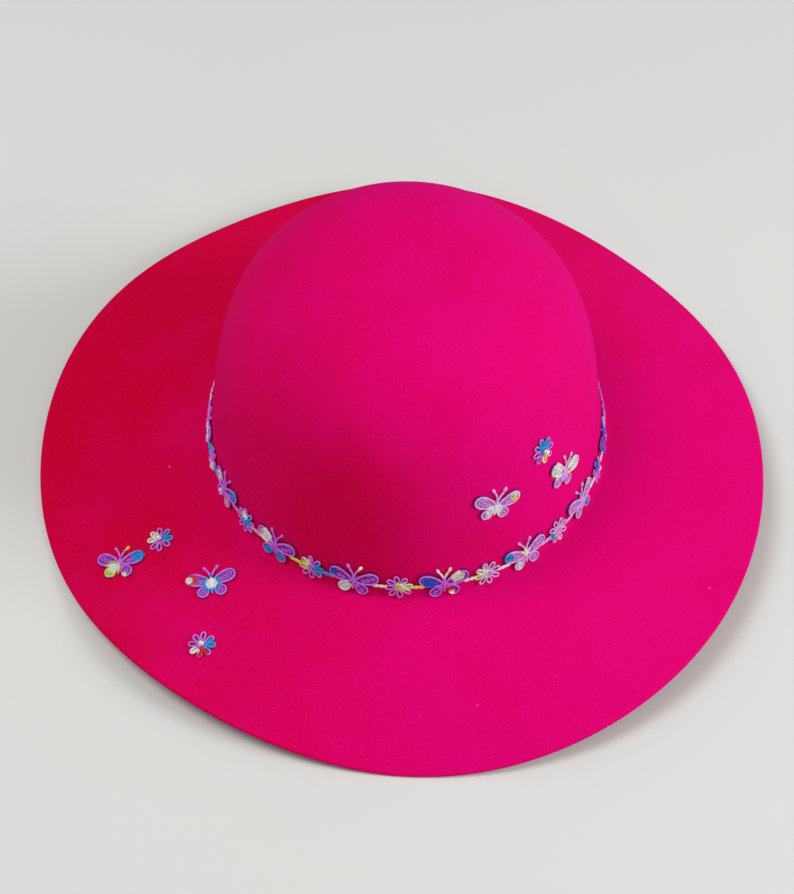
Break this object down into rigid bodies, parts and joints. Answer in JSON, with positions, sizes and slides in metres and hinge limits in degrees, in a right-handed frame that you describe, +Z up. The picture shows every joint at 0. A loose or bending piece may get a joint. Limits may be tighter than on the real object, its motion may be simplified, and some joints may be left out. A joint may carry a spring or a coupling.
{
  "type": "wide-brimmed felt hat",
  "caption": "Floppy wide-brimmed felt hat with a round blocked crown, a wavy brim, an inside sweatband and embroidered butterfly and flower lace round the crown.",
  "frame": {"origin": "middle of the brim's outline on the table that the hat lies on", "axes": "+Z up through the crown, -Y to the hat's front, +X to the side"},
  "size_m": [0.341, 0.3505, 0.1305],
  "materials": {
    "felt": "soft napped wool felt",
    "ribbon": "ribbed grosgrain ribbon",
    "stitching": "spun sewing thread",
    "lace": "embroidered satin thread in mixed colours",
    "bead": "pearl lustre"
  },
  "bodies": {
    "root": {"brim_bead_1": "bead", "brim_bead_2": "bead", "brim_butterfly_1": "lace", "brim_butterfly_2": "lace", "brim_flower_1": "lace", "brim_flower_2": "lace", "crown_bead_1": "bead", "crown_butterfly_1": "lace", "crown_butterfly_2": "lace", "crown_flower_1": "lace", "felt_body": "felt", "sweatband": "ribbon", "sweatband_stitches": "stitching", "sweatband_tab": "ribbon", "trim_bridging_bars": "lace", "trim_butterfly_01": "lace", "trim_butterfly_02": "lace", "trim_butterfly_03": "lace", "trim_butterfly_04": "lace", "trim_butterfly_05": "lace", "trim_butterfly_06": "lace", "trim_butterfly_07": "lace", "trim_butterfly_08": "lace", "trim_butterfly_09": "lace", "trim_butterfly_10": "lace", "trim_butterfly_11": "lace", "trim_butterfly_12": "lace", "trim_butterfly_13": "lace", "trim_butterfly_14": "lace", "trim_butterfly_15": "lace", "trim_flower_01": "lace", "trim_flower_02": "lace", "trim_flower_03": "lace", "trim_flower_04": "lace", "trim_flower_05": "lace", "trim_flower_06": "lace", "trim_flower_07": "lace", "trim_flower_08": "lace", "trim_flower_09": "lace", "trim_flower_10": "lace", "trim_flower_11": "lace", "trim_flower_12": "lace", "trim_flower_13": "lace", "trim_flower_14": "lace", "trim_flower_15": "lace"}
  },
  "joints": []
}
